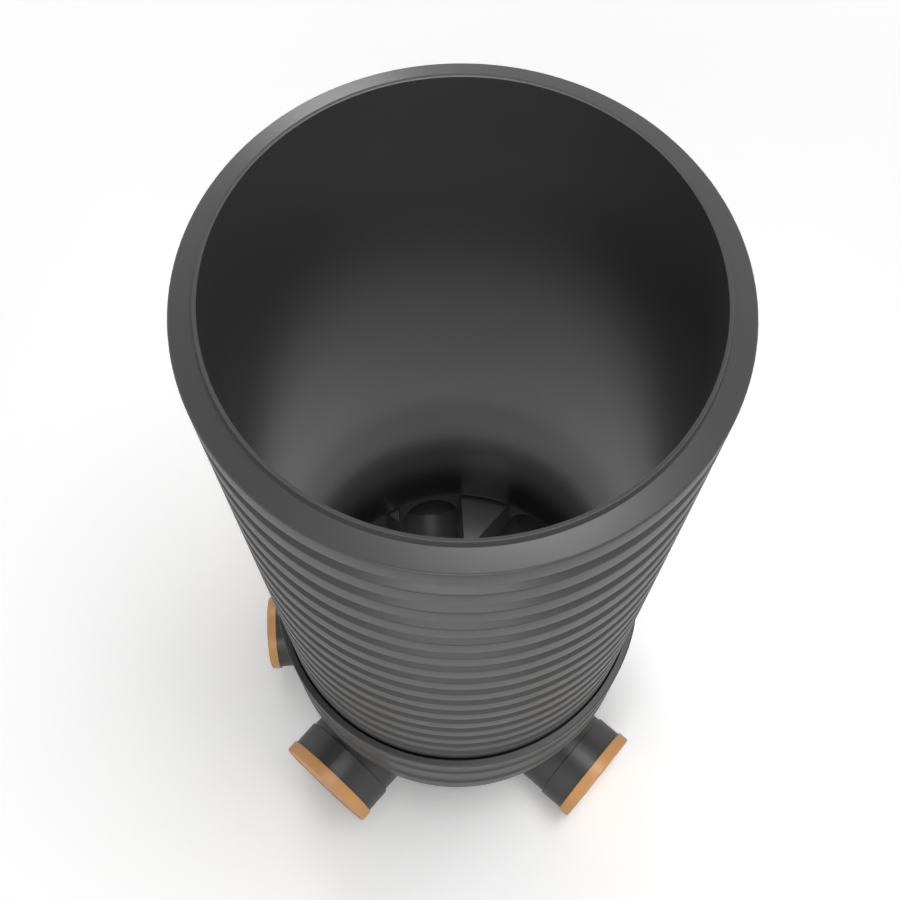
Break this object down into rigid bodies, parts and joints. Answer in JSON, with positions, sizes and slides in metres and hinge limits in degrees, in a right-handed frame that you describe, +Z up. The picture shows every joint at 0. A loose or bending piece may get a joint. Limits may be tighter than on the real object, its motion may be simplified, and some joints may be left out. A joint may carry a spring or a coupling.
{
  "type": "drain inspection chamber",
  "caption": "Drain inspection chamber: channelled base with sealed pipe sockets under closed caps, and a corrugated riser shaft in its collar.",
  "frame": {"origin": "on the riser's axis at the level the base stands on", "axes": "+Z up the riser, +X the way the water leaves through the outlet"},
  "size_m": [0.7152, 0.7152, 1.4947],
  "materials": {
    "body_plastic": "satin dark grey polypropylene",
    "riser_plastic": "satin dark grey polypropylene",
    "cap_plastic": "satin orange-brown polypropylene",
    "rubber": "soft black rubber"
  },
  "bodies": {
    "root": {"chamber_base": "body_plastic", "riser_shaft": "riser_plastic", "riser_seal": "rubber", "outlet_cap": "cap_plastic", "outlet_seal": "rubber", "inlet_straight_cap": "cap_plastic", "inlet_straight_seal": "rubber", "inlet_left_90_cap": "cap_plastic", "inlet_left_90_seal": "rubber", "inlet_right_90_cap": "cap_plastic", "inlet_right_90_seal": "rubber", "inlet_left_45_cap": "cap_plastic", "inlet_left_45_seal": "rubber", "inlet_right_45_cap": "cap_plastic", "inlet_right_45_seal": "rubber"}
  },
  "joints": []
}
